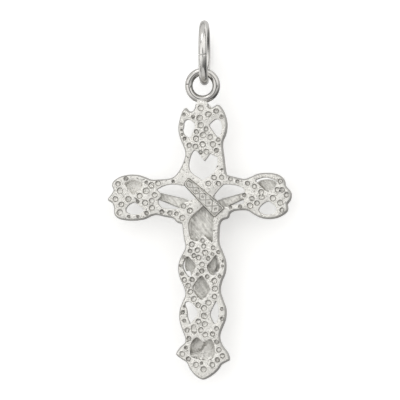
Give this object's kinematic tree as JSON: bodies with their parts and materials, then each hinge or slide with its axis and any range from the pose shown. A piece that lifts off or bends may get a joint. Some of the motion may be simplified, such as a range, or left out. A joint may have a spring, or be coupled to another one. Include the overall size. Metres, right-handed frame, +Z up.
{
  "type": "crucifix pendant",
  "caption": "Pierced, dimpled silver crucifix pendant with a figure on its front, hanging by its loop from a round jump ring.",
  "frame": {"origin": "inside top of the jump ring, where a chain bears", "axes": "+Z up along the hanging pendant, -Y towards the front with the figure, +X towards the figure's left hand"},
  "size_m": [0.0158, 0.0056, 0.0305],
  "materials": {
    "ring_silver": "polished silver wire",
    "cross_silver": "satin cast silver with fine grain",
    "figure_silver": "cast silver, matt and darker at the back"
  },
  "bodies": {
    "hanger": {"jump_ring": "ring_silver"},
    "pendant": {"cross": "cross_silver", "corpus": "figure_silver"}
  },
  "joints": [
    {"name": "cross_swing", "type": "hinge", "parent": "hanger", "child": "pendant", "pos_m": [0, 0, -0.00443], "axis": [0, 1, 0], "range_deg": [-90, 90]}
  ]
}
